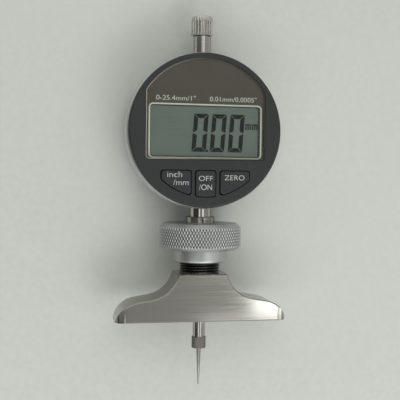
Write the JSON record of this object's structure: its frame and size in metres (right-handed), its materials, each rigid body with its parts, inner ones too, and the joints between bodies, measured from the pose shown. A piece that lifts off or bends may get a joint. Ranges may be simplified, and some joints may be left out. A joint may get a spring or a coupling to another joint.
{
  "type": "digital depth gauge",
  "caption": "Depth gauge with a round digital indicator clamped on a straight steel base, a needle contact on a sprung spindle, keys and a knurled clamp nut",
  "frame": {"origin": "where the spindle axis meets the measuring face of the base", "axes": "X across the gauge, Y up the spindle axis from the base to the lift knob, Z out of the display, so the gauge lies on its back"},
  "size_m": [0.065, 0.1405, 0.031],
  "materials": {
    "satin_steel": "ground",
    "black_oxide_steel": "black oxide",
    "turned_steel": "turned",
    "brass": "turned",
    "anodised_aluminium": "matte anodised, knurled",
    "polished_steel": "polished",
    "bronze": "turned",
    "machined_aluminium": "machined",
    "zinc_steel": "zinc plated",
    "board_laminate": "laminate",
    "spring_steel": "pressed",
    "silver_paint": "satin silver paint",
    "dark_grey_plastic": "fine moulded",
    "clear_acrylic": "clear, glossy",
    "printed_film": "printed dark brown",
    "lcd_glass": "grey-green display glass",
    "white_plastic": "moulded",
    "zebra_rubber": "moulded",
    "black_resin": "cast resin",
    "back_plastic": "fine moulded",
    "black_rubber": "moulded",
    "cell_steel": "plated",
    "button_plastic": "fine moulded"
  },
  "bodies": {
    "foot": {"base": "satin_steel", "threaded_post": "black_oxide_steel", "split_collet": "turned_steel"},
    "pressure_ring": {"clamp_ring": "brass"},
    "nut": {"clamp_nut": "anodised_aluminium"},
    "measuring_rod": {"spindle": "polished_steel", "contact_point": "polished_steel", "lift_knob": "polished_steel", "scale_carriage": "machined_aluminium", "carriage_screw": "zinc_steel", "scale_strip": "board_laminate"},
    "inch_mm_key": {"button_inch_mm": "button_plastic"},
    "off_on_key": {"button_off_on": "button_plastic"},
    "zero_key": {"button_zero": "button_plastic"},
    "cell_cap": {"battery_cap": "back_plastic", "battery_cap_seal": "black_rubber"},
    "indicator": {"stem": "polished_steel", "lower_bush": "bronze", "upper_bush": "polished_steel", "guide_rod": "polished_steel", "return_spring": "spring_steel", "case_body": "silver_paint", "stem_set_screw": "zinc_steel", "front_bezel": "dark_grey_plastic", "window_panel": "clear_acrylic", "window_mask": "printed_film", "lcd_panel": "lcd_glass", "lcd_holder": "white_plastic", "zebra_strips": "zebra_rubber", "main_board": "board_laminate", "controller_chip": "black_resin", "key_domes": "spring_steel", "board_screws": "zinc_steel", "back_cover": "back_plastic", "cover_screws": "zinc_steel", "cover_gasket": "black_rubber", "battery_holder": "white_plastic", "battery_cell": "cell_steel", "battery_contact_minus": "spring_steel", "battery_contact_plus": "spring_steel"}
  },
  "joints": [
    {"name": "indicator_turn", "type": "hinge", "parent": "foot", "child": "indicator", "pos_m": [0, 0.0389, 0], "axis": [0, 1, 0], "continuous": true},
    {"name": "nut_lift", "type": "slide", "parent": "foot", "child": "pressure_ring", "axis": [0, 1, 0], "range_m": [0, 0.001]},
    {"name": "nut_turn", "type": "hinge", "parent": "pressure_ring", "child": "nut", "pos_m": [0, 0.03, 0], "axis": [0, 1, 0], "range_deg": [0, 360]},
    {"name": "spindle_slide", "type": "slide", "parent": "indicator", "child": "measuring_rod", "axis": [0, 1, 0], "range_m": [0, 0.0254], "stiffness_N_per_m": 20, "springref_m": -0.03},
    {"name": "inch_mm_press", "type": "slide", "parent": "indicator", "child": "inch_mm_key", "axis": [0, 0, -1], "range_m": [0, 0.0005], "stiffness_N_per_m": 400, "springref_m": -0.001},
    {"name": "off_on_press", "type": "slide", "parent": "indicator", "child": "off_on_key", "axis": [0, 0, -1], "range_m": [0, 0.0005], "stiffness_N_per_m": 400, "springref_m": -0.001},
    {"name": "zero_press", "type": "slide", "parent": "indicator", "child": "zero_key", "axis": [0, 0, -1], "range_m": [0, 0.0005], "stiffness_N_per_m": 400, "springref_m": -0.001},
    {"name": "battery_cap_turn", "type": "hinge", "parent": "indicator", "child": "cell_cap", "pos_m": [0, 0.074, -0.012], "axis": [0, 0, 1], "range_deg": [0, 60]}
  ],
  "couplings": [
    {"joint": "nut_turn", "follows": "nut_lift", "rad_per_m": 6283.2}
  ]
}
